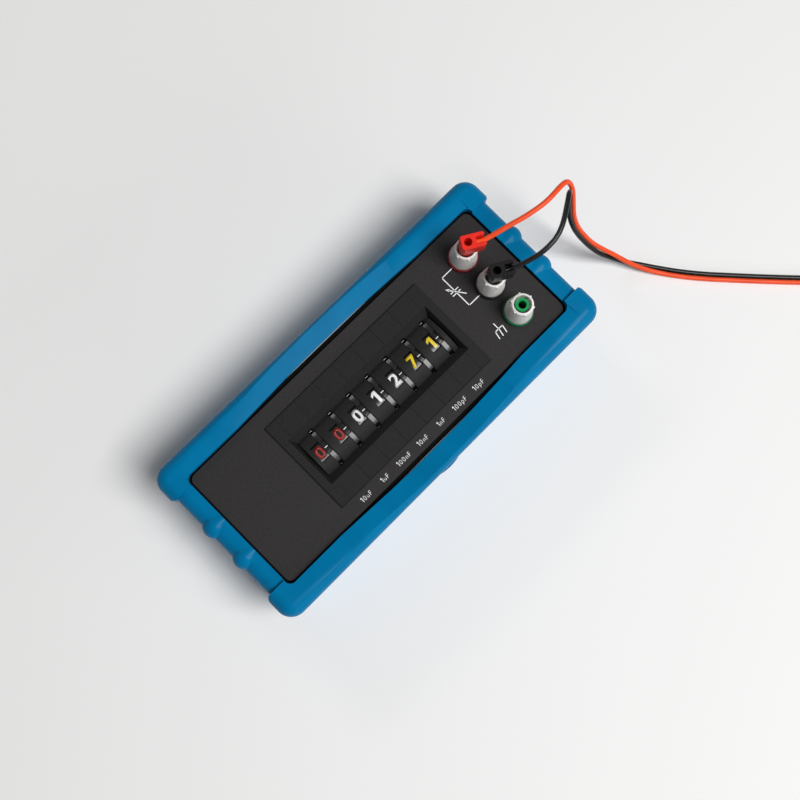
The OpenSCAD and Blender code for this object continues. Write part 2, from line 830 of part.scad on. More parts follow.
// Closed tube through rings of points
module tube(rings) {
  n = len(rings[0]);
  last = len(rings) - 1;
  points = [for (r = rings) each r];
  walls = [
    for (i = [0:last - 1], j = [0:n - 1])
      let (a = i * n + j, b = i * n + (j + 1) % n)
      each [[a, b + n, b], [a, a + n, b + n]]
  ];
  start = [for (j = [1:n - 2]) [0, j, j + 1]];
  end = [for (j = [1:n - 2]) [last * n, last * n + j + 1, last * n + j]];
  polyhedron(points = points, faces = concat(walls, start, end));
}

// Round lead along a route
module lead(way) {
  tube([for (i = [0:len(way) - 1])
    let (t = step_of(way, i)) ring_at(way[i], t, side_of(t, 0), round_outline(lead_d / 2, 8))]);
}

// Short wire inside the case
module wire(way) {
  tube([for (i = [0:len(way) - 1])
    let (t = step_of(way, i)) ring_at(way[i], t, side_of(t, 0), round_outline(wire_r, 6))]);
}

// Wires from the solder tags to the last switch board and to the panel
module hookup_wires() {
  tag_x = post_x - tag_l + 1.5;
  tag_z = panel_low - bush_t - tag_t - wire_r;
  board_face = first_x + decades * pitch - wafer_fit;
  tail_y = body_h / 2 + wafer_tail - 1.5;
  color([0.85, 0.85, 0.82]) {
    wire([
      [tag_x, post_y[0], tag_z], [tag_x - 3, post_y[0] + 1, tag_z - 2],
      [board_face + 8, tail_y - 2, axis_z + 6], [board_face + 3, tail_y, axis_z + 4],
      [board_face, tail_y, axis_z + 4]
    ]);
    wire([
      [tag_x, post_y[1], tag_z], [tag_x - 3, post_y[1] + 3, tag_z - 3],
      [board_face + 10, tail_y - 9, axis_z], [board_face + 3, tail_y, axis_z - 6],
      [board_face, tail_y, axis_z - 6]
    ]);
    wire([
      [tag_x, post_y[2], tag_z], [tag_x - 2, post_y[2] - 3, tag_z - 1],
      [tag_x - 1, post_y[2] - 7, tag_z], [tag_x, post_y[2] - 9, panel_low - 2],
      [tag_x, post_y[2] - 9.2, panel_low - slide_fit]
    ]);
  }
}

// Direction in which the plug heads point, and the place where each lead leaves its head
head_way = [cos(head_turn), sin(head_turn), 0];
function lead_start(i) =
  [post_x, post_y[i], lead_z] + (head_l - head_back - notch_l) * head_way;

// Stackable plug: a block head with a socket in its top, a notch for the lead, and a neck
module plug(i) {
  front = head_l - head_back;
  color(post_colours[i]) at_post(i) rotate(head_turn) difference() {
    union() {
      translate([head_l / 2 - head_back, 0, 0]) slab(head_l, head_w, head_edge_r, head_z, head_h);
      disc(neck_r, neck_z, head_z - neck_z + eps);
    }
    disc(socket_r, head_z - socket_floor, head_h + socket_floor + 1);
    span([front - notch_l, -notch_w / 2, lead_z - notch_w / 2],
         [front + 1, notch_w / 2, head_z + head_h + 1]);
  }
}

// Place of the coil, which takes up the rest of the twin lead where its route ends
coil_mid = coil_in + coil_step * coil_turn_back;
coil_start = flat(twin_way[len(twin_way) - 1]);
coil_way_in = step_of(twin_way, len(twin_way) - 1);
coil_heading = atan2(coil_way_in[1], coil_way_in[0]);
coil_foot = [coil_start[0], coil_start[1], coil_low]
  + coil_run * [cos(coil_heading), sin(coil_heading), 0];
coil_centre = coil_foot + coil_mid * [sin(coil_heading), -cos(coil_heading), 0];

// Spiral in on the table, climb in the half turn where it reverses, and spiral out on top
function coil_radius(t) = coil_in + coil_step * abs(t - coil_turn_back);
function coil_rise(t) = coil_layer * min(1, max(0, (t - coil_turn_back + 0.25) / 0.5));
function coil_angle(t) = coil_heading + 90 - 360 * t;
function coil_point(t) =
  coil_centre + [coil_radius(t) * cos(coil_angle(t)), coil_radius(t) * sin(coil_angle(t)), coil_rise(t)];
coil_count = coil_rings * coil_turns;
coil_loops = [for (i = [0:coil_count]) coil_point(i / coil_rings)];
coil_end_way = unit([sin(coil_angle(coil_turns)), -cos(coil_angle(coil_turns)), 0]);
coil_end = coil_loops[coil_count] + coil_end_run * coil_end_way;
coil_way = concat([coil_start], coil_loops, [coil_end]);

// Least gap between the cores of two turns of the coil
function coil_side(i) = unit([coil_loops[i][0] - coil_centre[0], coil_loops[i][1] - coil_centre[1], 0]);
coil_cores = [for (i = [0:coil_count], s = [-1, 1]) coil_loops[i] + s * core_gap / 2 * coil_side(i)];
coil_least = min([
  for (i = [0:2 * coil_count + 1], j = [i + coil_rings:1:2 * coil_count + 1])
    norm(coil_cores[i] - coil_cores[j])
]) - lead_d;
echo(coil_gap = coil_least);
echo(twin_length = sum_steps(twin_way, 1) + sum_steps(coil_way, 1));

// The two leads leave their plugs square, and come together square to the twin lead
split_way = step_of(twin_way, 0);
split_side = side_of(split_way, twin_way[0][3]);
function lead_end(s) = flat(twin_way[0]) + s * core_gap / 2 * split_side;
function lead_way(i, way, s) = concat(
  [lead_start(i), lead_start(i) + lead_d * head_way], way,
  [lead_end(s) - lead_d * split_way, lead_end(s)]
);
echo(red_length = sum_steps(lead_way(0, red_way, 1), 1));
echo(black_length = sum_steps(lead_way(1, black_way, -1), 1));

module red_lead() {
  color([0.9, 0.25, 0.12]) lead(lead_way(0, red_way, 1));
}

module black_lead() {
  color([0.06, 0.06, 0.06]) lead(lead_way(1, black_way, -1));
}

module twin_lead() {
  color([0.06, 0.06, 0.06]) tube([for (i = [0:len(twin_way) - 1])
    let (t = step_of(twin_way, i))
    ring_at(twin_way[i], t, side_of(t, twin_way[i][3]), twin_outline(8))]);
}

module lead_coil() {
  color([0.06, 0.06, 0.06]) tube([for (i = [0:len(coil_way) - 1])
    let (t = step_of(coil_way, i)) ring_at(coil_way[i], t, side_of(t, 0), twin_outline(6))]);
}

// Strap round all the turns of the coil
module coil_tie() {
  half = (lead_d + core_gap) / 2 + part_gap;
  low = coil_in - half;
  high = coil_in + coil_step * coil_turn_back + half;
  top = coil_low + coil_layer + lead_d / 2 + part_gap;
  color([0.1, 0.1, 0.1]) translate([coil_centre[0], coil_centre[1], 0]) rotate(coil_heading)
    difference() {
      span([low - tie_t, -tie_w / 2, 0], [high + tie_t, tie_w / 2, top + tie_t]);
      span([low, -tie_w, tie_foot], [high, tie_w, top]);
    }
}

// Puts a piece of the end block at the end of the coil
module at_end_block() {
  translate([coil_end[0], coil_end[1], 0])
    rotate(atan2(coil_end_way[1], coil_end_way[0])) children();
}

module end_block() {
  color([0.06, 0.06, 0.06]) at_end_block() translate([block_l / 2, 0, 0])
    slab(block_l, block_w, block_r, 0, block_h);
}

// Pins of the two plugs and of the end block
module plug_pins() {
  color([0.85, 0.8, 0.65]) {
    for (i = [0:1]) at_post(i) {
      disc(pin_r, pin_z + pin_nose, neck_z - pin_z - pin_nose);
      translate([0, 0, pin_z]) cylinder(r1 = pin_r - 0.9, r2 = pin_r, h = pin_nose);
    }
    at_end_block() for (y = [-1, 1])
      translate([block_l, y * post_pitch / 2, block_h / 2]) rotate([0, 90, 0])
        cylinder(r = pin_r, h = block_pin_l);
  }
}

protective_boot();
case_tub();
front_panel();
panel_standoffs();
case_screws();
left_cheek();
right_cheek();
for (k = [1:decades]) {
  switch_housing(k);
  thumbwheel(k);
  wiper(k);
}
switch_wafers();
tie_rods();
for (i = [0:2]) {
  post_base(i);
  post_sleeve(i);
  post_washer(i);
  post_cap(i);
}
post_studs();
post_bushes();
solder_tags();
post_nuts();
capacitor_board();
board_screws();
film_capacitors();
small_capacitors();
hookup_wires();
plug(0);  // red_plug
plug(1);  // black_plug
plug_pins();
red_lead();
black_lead();
twin_lead();
lead_coil();
coil_tie();
end_block();
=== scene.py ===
import json
import math
import bpy
from mathutils import Matrix, Vector


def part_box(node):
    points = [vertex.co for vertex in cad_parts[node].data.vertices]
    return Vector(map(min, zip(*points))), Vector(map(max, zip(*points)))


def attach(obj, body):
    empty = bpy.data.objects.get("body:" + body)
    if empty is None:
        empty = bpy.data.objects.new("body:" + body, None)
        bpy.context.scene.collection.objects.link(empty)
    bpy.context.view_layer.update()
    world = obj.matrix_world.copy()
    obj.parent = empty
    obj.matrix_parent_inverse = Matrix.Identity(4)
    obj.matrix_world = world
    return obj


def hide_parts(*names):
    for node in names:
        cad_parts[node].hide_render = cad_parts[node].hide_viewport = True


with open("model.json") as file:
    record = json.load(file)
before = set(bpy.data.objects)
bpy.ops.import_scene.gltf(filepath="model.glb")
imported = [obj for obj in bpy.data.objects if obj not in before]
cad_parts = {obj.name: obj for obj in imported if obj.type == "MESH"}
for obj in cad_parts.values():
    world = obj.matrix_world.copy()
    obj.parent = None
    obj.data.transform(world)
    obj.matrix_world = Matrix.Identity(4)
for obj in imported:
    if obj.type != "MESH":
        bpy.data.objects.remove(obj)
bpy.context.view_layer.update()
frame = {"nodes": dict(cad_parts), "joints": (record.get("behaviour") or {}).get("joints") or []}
print("frame loaded:", len(frame["nodes"]), "nodes")


# Selecting, editing and copying

def focus(piece):
    bpy.ops.object.select_all(action="DESELECT")
    piece.select_set(True)
    bpy.context.view_layer.objects.active = piece


def edit(piece):
    focus(piece)
    bpy.ops.object.mode_set(mode="EDIT")
    bpy.ops.mesh.select_all(action="SELECT")


def done():
    bpy.ops.object.mode_set(mode="OBJECT")


def applyPlace(piece):
    focus(piece)
    bpy.ops.object.transform_apply(location=True, rotation=True, scale=True)


def applyModifier(piece, kind, **settings):
    focus(piece)
    modifier = piece.modifiers.new(kind.lower(), kind)
    for key, value in settings.items():
        setattr(modifier, key, value)
    bpy.ops.object.modifier_apply(modifier=modifier.name)


def rename(piece, name):
    piece.name = name
    piece.data.name = name
    return piece


def joinPieces(pieces, name):
    focus(pieces[0])
    for piece in pieces[1:]:
        piece.select_set(True)
    bpy.ops.object.join()
    return rename(bpy.context.view_layer.objects.active, name)


def pickPoints(piece, test):
    edit(piece)
    bpy.ops.mesh.select_all(action="DESELECT")
    done()
    for point in piece.data.vertices:
        point.select = test(point.co)
    bpy.ops.object.mode_set(mode="EDIT")


def spanOf(piece, axis):
    places = [point.co[axis] for point in piece.data.vertices]
    return min(places), max(places)


def flatPlane(name, x0, y0, x1, y1, level=0.0):
    bpy.ops.object.select_all(action="DESELECT")
    bpy.ops.mesh.primitive_plane_add(size=1, location=((x0 + x1) / 2, (y0 + y1) / 2, level))
    piece = rename(bpy.context.object, name)
    piece.scale = (x1 - x0, y1 - y0, 1)
    applyPlace(piece)
    return piece


def raiseSheet(piece, thick):
    edit(piece)
    bpy.ops.mesh.extrude_region_move(TRANSFORM_OT_translate={"value": (0, 0, thick)})
    bpy.ops.mesh.select_all(action="SELECT")
    bpy.ops.mesh.normals_make_consistent(inside=False)
    done()


def bevelAll(piece, offset, steps):
    edit(piece)
    bpy.ops.mesh.bevel(offset=offset, segments=steps, affect="EDGES")
    done()


def copyPiece(source, name, place):
    piece = bpy.data.objects.new(name, source.data.copy())
    piece.data.name = name
    piece.data.transform(place)
    bpy.context.scene.collection.objects.link(piece)
    return piece


def settle(piece, body, finish):
    piece.data.materials.clear()
    piece.data.materials.append(finish)
    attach(piece, body)
    return piece


# Finishes: one procedural surface, with its own values for each material

surface = {
    "noiseSpan": (0.3, 0.7),  # the part of the noise that tones and roughness spread over
    "patchDetail": 3.0,
    "patchRough": 0.5,
    "grainDetail": 2.0,
    "grainRough": 0.6,
    "grainDepth": 0.0001,
    "specular": 0.5,
}


def finishNodes(name):
    finish = bpy.data.materials.new(name)
    finish.use_nodes = True
    tree = finish.node_tree
    return finish, tree, tree.nodes["Principled BSDF"]


def noiseOn(tree, place, scale, detail, rough):
    noise = tree.nodes.new("ShaderNodeTexNoise")
    noise.inputs["Scale"].default_value = scale
    noise.inputs["Detail"].default_value = detail
    noise.inputs["Roughness"].default_value = rough
    tree.links.new(place, noise.inputs["Vector"])
    return noise.outputs["Fac"]


def remap(tree, value, low, high):
    span = tree.nodes.new("ShaderNodeMapRange")
    span.inputs["From Min"].default_value, span.inputs["From Max"].default_value = surface["noiseSpan"]
    span.inputs["To Min"].default_value = low
    span.inputs["To Max"].default_value = high
    tree.links.new(value, span.inputs["Value"])
    return span.outputs["Result"]


# Screen colour to the linear one that the shader takes
def srgb(colour):
    return [(c / 12.92 if c <= 0.04045 else ((c + 0.055) / 1.055) ** 2.4) for c in colour] + [1.0]


def patchTone(tree, place, look):
    patches = noiseOn(tree, place, look["patch"], surface["patchDetail"], surface["patchRough"])
    blend = tree.nodes.new("ShaderNodeMix")
    blend.data_type = "RGBA"
    blend.inputs["A"].default_value = srgb(look["dark"])
    blend.inputs["B"].default_value = srgb(look["light"])
    tree.links.new(remap(tree, patches, 0.0, 1.0), blend.inputs["Factor"])
    return blend.outputs["Result"]


# A paler tone above one height: a painted highlight on the case rim's top edge
def wornRim(tree, place, colour, look):
    parts = tree.nodes.new("ShaderNodeSeparateXYZ")
    above = tree.nodes.new("ShaderNodeMath")
    above.operation = "GREATER_THAN"
    above.inputs[1].default_value = look["rimLevel"]
    blend = tree.nodes.new("ShaderNodeMix")
    blend.data_type = "RGBA"
    blend.inputs["B"].default_value = srgb(look["rim"])
    tree.links.new(place, parts.inputs["Vector"])
    tree.links.new(parts.outputs["Z"], above.inputs[0])
    tree.links.new(above.outputs["Value"], blend.inputs["Factor"])
    tree.links.new(colour, blend.inputs["A"])
    return blend.outputs["Result"]


def grainOn(tree, shader, place, look):
    grain = noiseOn(tree, place, look["grain"], surface["grainDetail"], surface["grainRough"])
    smoothest, roughest = look["rough"]
    tree.links.new(remap(tree, grain, smoothest, roughest), shader.inputs["Roughness"])
    bump = tree.nodes.new("ShaderNodeBump")
    bump.inputs["Strength"].default_value = look["bump"]
    bump.inputs["Distance"].default_value = surface["grainDepth"]
    tree.links.new(grain, bump.inputs["Height"])
    tree.links.new(bump.outputs["Normal"], shader.inputs["Normal"])


def makeFinish(name, look):
    finish, tree, shader = finishNodes(name)
    place = tree.nodes.new("ShaderNodeTexCoord").outputs["Object"]
    colour = patchTone(tree, place, look)
    # finishes with a rim colour get the painted rim highlight above rimLevel
    if "rim" in look:
        colour = wornRim(tree, place, colour, look)
    tree.links.new(colour, shader.inputs["Base Color"])
    grainOn(tree, shader, place, look)
    shader.inputs["Metallic"].default_value = look.get("metal", 0.0)
    shader.inputs["Specular IOR Level"].default_value = look.get("specular", surface["specular"])
    if "soft" in look:  # light sinks in and spreads alike in all colours
        shader.inputs["Subsurface Weight"].default_value = look["soft"]
        shader.inputs["Subsurface Radius"].default_value = (1, 1, 1)
        shader.inputs["Subsurface Scale"].default_value = look["softDepth"]
    return finish


finishLooks = {
    "boot_rubber": {"dark": (0.0, 0.425, 0.61), "light": (0.0, 0.455, 0.645), "patch": 60,
                    "rough": (0.22, 0.30), "grain": 2600, "bump": 0.06, "specular": 0.05},
    "case_plastic": {"dark": (0.035, 0.035, 0.038), "light": (0.05, 0.05, 0.053), "patch": 300,
                     "rough": (0.50, 0.62), "grain": 3000, "bump": 0.2, "specular": 0.03,
                     # the rim colour is a painted highlight on the case rim's top edge
                     "rim": (0.52, 0.57, 0.60), "rimLevel": 0.0497},
    "panel_paint": {"dark": (0.155, 0.148, 0.152), "light": (0.185, 0.177, 0.181), "patch": 900,
                    "rough": (0.50, 0.62), "grain": 4200, "bump": 0.25, "specular": 0.12},
    "switch_black": {"dark": (0.112, 0.111, 0.110), "light": (0.136, 0.135, 0.134), "patch": 700,
                     "rough": (0.48, 0.58), "grain": 3600, "bump": 0.18, "specular": 0.10},
    "wheel_black": {"dark": (0.03, 0.03, 0.032), "light": (0.05, 0.05, 0.052), "patch": 400,
                    "rough": (0.16, 0.23), "grain": 2500, "bump": 0.03, "specular": 0.32},
    "wiper_spring": {"dark": (0.74, 0.56, 0.28), "light": (0.82, 0.64, 0.34), "patch": 500,
                     "rough": (0.22, 0.34), "grain": 3000, "bump": 0.1, "metal": 1.0},
    "wafer_board": {"dark": (0.50, 0.38, 0.20), "light": (0.58, 0.45, 0.25), "patch": 400,
                    "rough": (0.45, 0.6), "grain": 2400, "bump": 0.15},
    "screw_steel": {"dark": (0.66, 0.67, 0.68), "light": (0.75, 0.76, 0.77), "patch": 800,
                    "rough": (0.25, 0.4), "grain": 3000, "bump": 0.1, "metal": 1.0},
    "post_red": {"dark": (0.44, 0.03, 0.05), "light": (0.52, 0.04, 0.06), "patch": 300,
                 "rough": (0.18, 0.28), "grain": 2000, "bump": 0.05, "specular": 0.25},
    "post_black": {"dark": (0.05, 0.048, 0.05), "light": (0.07, 0.067, 0.07), "patch": 300,
                   "rough": (0.25, 0.36), "grain": 2200, "bump": 0.08, "specular": 0.15},
    "post_green": {"dark": (0.0, 0.35, 0.20), "light": (0.0, 0.41, 0.24), "patch": 300,
                   "rough": (0.18, 0.28), "grain": 2000, "bump": 0.05, "specular": 0.25},
    "cap_grey": {"dark": (0.965, 0.945, 0.92), "light": (0.985, 0.97, 0.945), "patch": 500,
                 "rough": (0.28, 0.4), "grain": 2400, "bump": 0.08, "soft": 0.6, "softDepth": 0.003},
    "washer_nickel": {"dark": (0.78, 0.77, 0.74), "light": (0.85, 0.84, 0.81), "patch": 600,
                      "rough": (0.16, 0.26), "grain": 3000, "bump": 0.06, "metal": 1.0},
    # stud_brass is far darker than the wiper brass: painted shade for the stud seen down each post's
    # sleeve
    "stud_brass": {"dark": (0.30, 0.24, 0.13), "light": (0.36, 0.29, 0.17), "patch": 500,
                   "rough": (0.2, 0.32), "grain": 2600, "bump": 0.08, "metal": 1.0},
    "tag_tin": {"dark": (0.76, 0.76, 0.74), "light": (0.84, 0.84, 0.82), "patch": 500,
                "rough": (0.25, 0.4), "grain": 2600, "bump": 0.1, "metal": 1.0},
    "board_green": {"dark": (0.06, 0.28, 0.14), "light": (0.09, 0.34, 0.18), "patch": 300,
                    "rough": (0.3, 0.42), "grain": 2400, "bump": 0.1},
    "film_blue": {"dark": (0.10, 0.22, 0.50), "light": (0.13, 0.27, 0.58), "patch": 300,
                  "rough": (0.28, 0.4), "grain": 2400, "bump": 0.08},
    "capacitor_brown": {"dark": (0.62, 0.40, 0.18), "light": (0.72, 0.48, 0.24), "patch": 500,
                        "rough": (0.25, 0.38), "grain": 2200, "bump": 0.1},
    "wire_white": {"dark": (0.82, 0.82, 0.79), "light": (0.88, 0.88, 0.85), "patch": 400,
                   "rough": (0.35, 0.5), "grain": 2000, "bump": 0.08},
    "lead_red": {"dark": (0.91, 0.29, 0.12), "light": (0.96, 0.34, 0.16), "patch": 180,
                 "rough": (0.30, 0.40), "grain": 2600, "bump": 0.08, "specular": 0.2},
    "lead_black": {"dark": (0.03, 0.03, 0.032), "light": (0.05, 0.048, 0.05), "patch": 180,
                   "rough": (0.14, 0.22), "grain": 2600, "bump": 0.04, "specular": 0.2},
    "tie_black": {"dark": (0.09, 0.09, 0.09), "light": (0.13, 0.13, 0.13), "patch": 600,
                  "rough": (0.5, 0.65), "grain": 2600, "bump": 0.3},
    # near-black for strips laid where there is only shade
    "painted_shade_black": {"dark": (0.02, 0.02, 0.02), "light": (0.035, 0.035, 0.035), "patch": 900,
                     "rough": (0.7, 0.85), "grain": 3000, "bump": 0.2, "specular": 0.2},
    "pin_nickel": {"dark": (0.80, 0.78, 0.72), "light": (0.88, 0.86, 0.80), "patch": 600,
                   "rough": (0.14, 0.24), "grain": 3000, "bump": 0.05, "metal": 1.0},
    "plug_red": {"dark": (0.87, 0.15, 0.11), "light": (0.93, 0.19, 0.14), "patch": 300,
                 "rough": (0.26, 0.36), "grain": 2200, "bump": 0.06, "specular": 0.2},
    # a lighter copy of post_green: painted light on the sleeve's top ring
    "sleeve_green_painted_light": {"dark": (0.03, 0.54, 0.29), "light": (0.05, 0.60, 0.33), "patch": 300,
                     "rough": (0.18, 0.28), "grain": 2000, "bump": 0.05, "specular": 0.25},
    "print_white": {"dark": (0.92, 0.92, 0.92), "light": (0.98, 0.98, 0.98), "patch": 2500,
                    "rough": (0.4, 0.55), "grain": 4000, "bump": 0.1},
    "digit_white": {"dark": (0.90, 0.91, 0.91), "light": (0.97, 0.97, 0.97), "patch": 900,
                    "rough": (0.25, 0.35), "grain": 3000, "bump": 0.04},
    "digit_red": {"dark": (0.55, 0.17, 0.16), "light": (0.64, 0.22, 0.20), "patch": 900,
                  "rough": (0.25, 0.35), "grain": 3000, "bump": 0.04},
    "digit_yellow": {"dark": (0.86, 0.74, 0.10), "light": (0.94, 0.82, 0.16), "patch": 900,
                     "rough": (0.25, 0.35), "grain": 3000, "bump": 0.04},
}
finishes = {name: makeFinish(name, look) for name, look in finishLooks.items()}

for node in frame["nodes"].values():
    slotName = node.data.materials[0].name.split(".")[0]
    node.data.materials[0] = finishes[slotName]
# the green sleeve gets the lighter copy of its green, painted light on its ring
frame["nodes"]["green_post_sleeve"].data.materials[0] = finishes["sleeve_green_painted_light"]
print("finishes made:", len(finishes))


# Camera at the photograph's viewing angle

cameraLook = {
    "place": (-0.05073, -0.04296, 0.53095),
    "azimuth": -58.365,
    "elevation": 82.383,
    "roll": 13.489,
    "sensor": 36.0,
    "lens": 45.0,
    "nearest": 0.01,
}


def addCamera(look):
    azimuth = math.radians(look["azimuth"])
    elevation = math.radians(look["elevation"])
    roll = math.radians(look["roll"])
    back = Vector((math.sin(azimuth) * math.cos(elevation),
                   -math.cos(azimuth) * math.cos(elevation), math.sin(elevation)))
    level = Vector((0, 0, 1)).cross(back).normalized()
    over = back.cross(level)
    right = level * math.cos(roll) + over * math.sin(roll)
    up = over * math.cos(roll) - level * math.sin(roll)
    turn = Matrix((right, up, back)).transposed().to_4x4()
    bpy.ops.object.camera_add()
    camera = bpy.context.object
    camera.matrix_world = Matrix.Translation(look["place"]) @ turn
    camera.data.sensor_width = look["sensor"]
    camera.data.lens = look["lens"]
    camera.data.clip_start = look["nearest"]
    bpy.context.scene.camera = camera


addCamera(cameraLook)
print("camera placed")


# Test lead: two cores from their plugs, side by side as a twin lead, and wound in a tied coil

lead = {
    "diameter": 0.0026,
    "coreGap": 0.0027,  # from middle to middle in the twin lead
    "level": 0.07375,
    "notch": 0.0040,  # from the middle of the plug to the end of its core
    "plugTurn": -30,
    "length": 0.918,
    "roundSteps": 4,
    "runSteps": 5,
}
redWay = [
    (0.0935, 0.0120, 0.0764), (0.0985, 0.0105, 0.0774), (0.1035, 0.0090, 0.0782),
    (0.1080, 0.0080, 0.0788), (0.1125, 0.0072, 0.0792), (0.1175, 0.0068, 0.0794),
    (0.1225, 0.0070, 0.0792), (0.1270, 0.0073, 0.0784), (0.1310, 0.0070, 0.0762),
    (0.1330, 0.0054, 0.0726),
]
blackWay = [
    (0.0925, -0.0074, 0.0762), (0.0970, -0.0085, 0.0772), (0.1020, -0.0089, 0.0782),
    (0.1070, -0.0085, 0.0790), (0.1118, -0.0070, 0.0796), (0.1164, -0.0046, 0.0800),
    (0.1208, -0.0018, 0.0800), (0.1246, 0.0006, 0.0794), (0.1274, 0.0022, 0.0778),
    (0.1292, 0.0026, 0.0746),
]
# The fourth value is how far the pair has rolled over, in degrees
twinWay = [
    (0.1315, 0.0015, 0.0650, 180), (0.1313, -0.0010, 0.0575, 180), (0.1310, -0.0037, 0.0500, 180),
    (0.1312, -0.0072, 0.0430, 180), (0.1324, -0.0111, 0.0360, 180), (0.1345, -0.0156, 0.0290, 180),
    (0.1371, -0.0205, 0.0225, 175), (0.1406, -0.0260, 0.0165, 150), (0.1450, -0.0320, 0.0110, 115),
    (0.1496, -0.0390, 0.0066, 75), (0.1548, -0.0467, 0.0038, 35), (0.1606, -0.0549, 0.0021, 10),
    (0.1677, -0.0645, 0.0016, 0), (0.1764, -0.0750, 0.0015, 0), (0.1860, -0.0855, 0.0015, 0),
    (0.1955, -0.0957, 0.0015, 0), (0.2050, -0.1057, 0.0015, 0), (0.2150, -0.1160, 0.0015, 0),
    (0.2270, -0.1280, 0.0016, 0), (0.2380, -0.1390, 0.0018, 0),
]
coil = {
    "inner": 0.0238,
    "step": 0.0062,
    "turns": 3.25,
    "turnBack": 2,  # wound inwards so far, then outwards again one layer up
    "layer": 0.0034,
    "riseTurns": 0.5,
    "low": 0.0018,
    "points": 24,
    "runIn": 0.010,
    "runOut": 0.037,
    "outSteps": 4,
}


def stepOf(way, i):
    ahead = Vector(way[min(i + 1, len(way) - 1)][:3])
    behind = Vector(way[max(i - 1, 0)][:3])
    return (ahead - behind).normalized()


def sideOf(travel, roll):
    level = travel.cross(Vector((0, 0, 1))).normalized()
    over = level.cross(travel)
    return level * math.cos(math.radians(roll)) + over * math.sin(math.radians(roll))


def coilWay():
    start = Vector(twinWay[-1][:3])
    travel = stepOf(twinWay, len(twinWay) - 1)
    heading = math.atan2(travel.y, travel.x)
    foot = Vector((start.x, start.y, coil["low"]))
    foot += Vector((math.cos(heading), math.sin(heading), 0)) * coil["runIn"]
    outer = coil["inner"] + coil["step"] * coil["turnBack"]
    centre = foot + Vector((math.sin(heading), -math.cos(heading), 0)) * outer
    way = [start]
    for i in range(int(coil["points"] * coil["turns"]) + 1):
        t = i / coil["points"]
        radius = coil["inner"] + coil["step"] * abs(t - coil["turnBack"])
        climb = (t - coil["turnBack"] + coil["riseTurns"] / 2) / coil["riseTurns"]
        rise = coil["layer"] * min(1, max(0, climb))
        angle = heading + math.pi / 2 - 2 * math.pi * t
        way.append(centre + Vector((radius * math.cos(angle), radius * math.sin(angle), rise)))
    endWay = Vector((math.sin(angle), -math.cos(angle), 0))
    for _ in range(coil["outSteps"]):
        way.append(way[-1] + endWay * coil["runOut"] / coil["outSteps"])
    return way


coilPoints = coilWay()


def postPlace(colour):
    low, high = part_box(f"{colour}_post_base")
    return Vector(((low.x + high.x) / 2, (low.y + high.y) / 2, high.z))


def corePoints(post, ownWay, hand):
    turn = math.radians(lead["plugTurn"])
    head = Vector((math.cos(turn), math.sin(turn), 0))
    start = Vector((post.x, post.y, lead["level"])) + head * lead["notch"]
    points = [start, start + head * lead["diameter"]] + [Vector(p) for p in ownWay]
    half = hand * lead["coreGap"] / 2
    splitWay = stepOf(twinWay, 0)
    splitEnd = Vector(twinWay[0][:3]) + sideOf(splitWay, twinWay[0][3]) * half
    points.append(splitEnd - splitWay * lead["diameter"])
    for i, p in enumerate(twinWay[:-1]):
        points.append(Vector(p[:3]) + sideOf(stepOf(twinWay, i), p[3]) * half)
    for i, p in enumerate(coilPoints):
        points.append(p + sideOf(stepOf(coilPoints, i), 0) * half)
    return points


def cordPiece(name, points, finish):
    curve = bpy.data.curves.new(name, "CURVE")
    curve.dimensions = "3D"
    curve.bevel_depth = lead["diameter"] / 2
    curve.bevel_resolution = lead["roundSteps"]
    curve.resolution_u = lead["runSteps"]
    curve.use_fill_caps = True
    spline = curve.splines.new("BEZIER")
    spline.bezier_points.add(len(points) - 1)
    for bezier, point in zip(spline.bezier_points, points):
        bezier.co = point
        bezier.handle_left_type = "AUTO"
        bezier.handle_right_type = "AUTO"
    piece = bpy.data.objects.new(name, curve)
    bpy.context.scene.collection.objects.link(piece)
    curve.materials.append(finish)
    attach(piece, "box")
    return piece


redPoints = corePoints(postPlace("red"), redWay, 1)
blackPoints = corePoints(postPlace("black"), blackWay, -1)
redCord = cordPiece("red_core", redPoints, finishes["lead_red"])
blackCord = cordPiece("black_core", blackPoints, finishes["lead_black"])
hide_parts("red_lead", "twin_lead")
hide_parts("black_lead", "lead_coil")
print("cords laid")


# Moulded parts with their edges broken, so that they catch the light

edgeBreak = {
    "mergeGap": 0.00001,
    "flatAngle": 1.5,
    "sharpAngle": 32,
    "smoothAngle": 60,
}
edgeWidth = {
    "boot": 0.0007,
    "housing": 0.00026,
    "wheel": 0.00025,
    "cheek": 0.00018,
    "panel": 0.0002,
    "tub": 0.0001,
    "block": 0.0008,
    "cap": 0.00035,
    "post": 0.0004,
    "plug": 0.0004,
}
bank = {
    "pitch": 0.0127,
    "shown": (0, 0, 0, 1, 2, 7, 1),
    "colours": ("digit_red",) * 2 + ("digit_white",) * 3 + ("digit_yellow",) * 2,
}
switchCount = len(bank["shown"])
posts = ("red", "black", "green")


def copyOf(node, name):
    source = frame["nodes"][node]
    piece = copyPiece(source, name, source.matrix_world)
    edit(piece)
    bpy.ops.mesh.customdata_custom_splitnormals_clear()
    bpy.ops.mesh.remove_doubles(threshold=edgeBreak["mergeGap"])
    bpy.ops.mesh.normals_make_consistent(inside=False)
    done()
    return piece


def breakEdges(piece, width, steps):
    edit(piece)
    bpy.ops.mesh.dissolve_limited(angle_limit=math.radians(edgeBreak["flatAngle"]))
    done()
    applyModifier(piece, "BEVEL", width=width, segments=steps, limit_method="ANGLE",
                  angle_limit=math.radians(edgeBreak["sharpAngle"]))
    focus(piece)
    bpy.ops.object.shade_smooth_by_angle(angle=math.radians(edgeBreak["smoothAngle"]))
    applyModifier(piece, "WEIGHTED_NORMAL", keep_sharp=True)


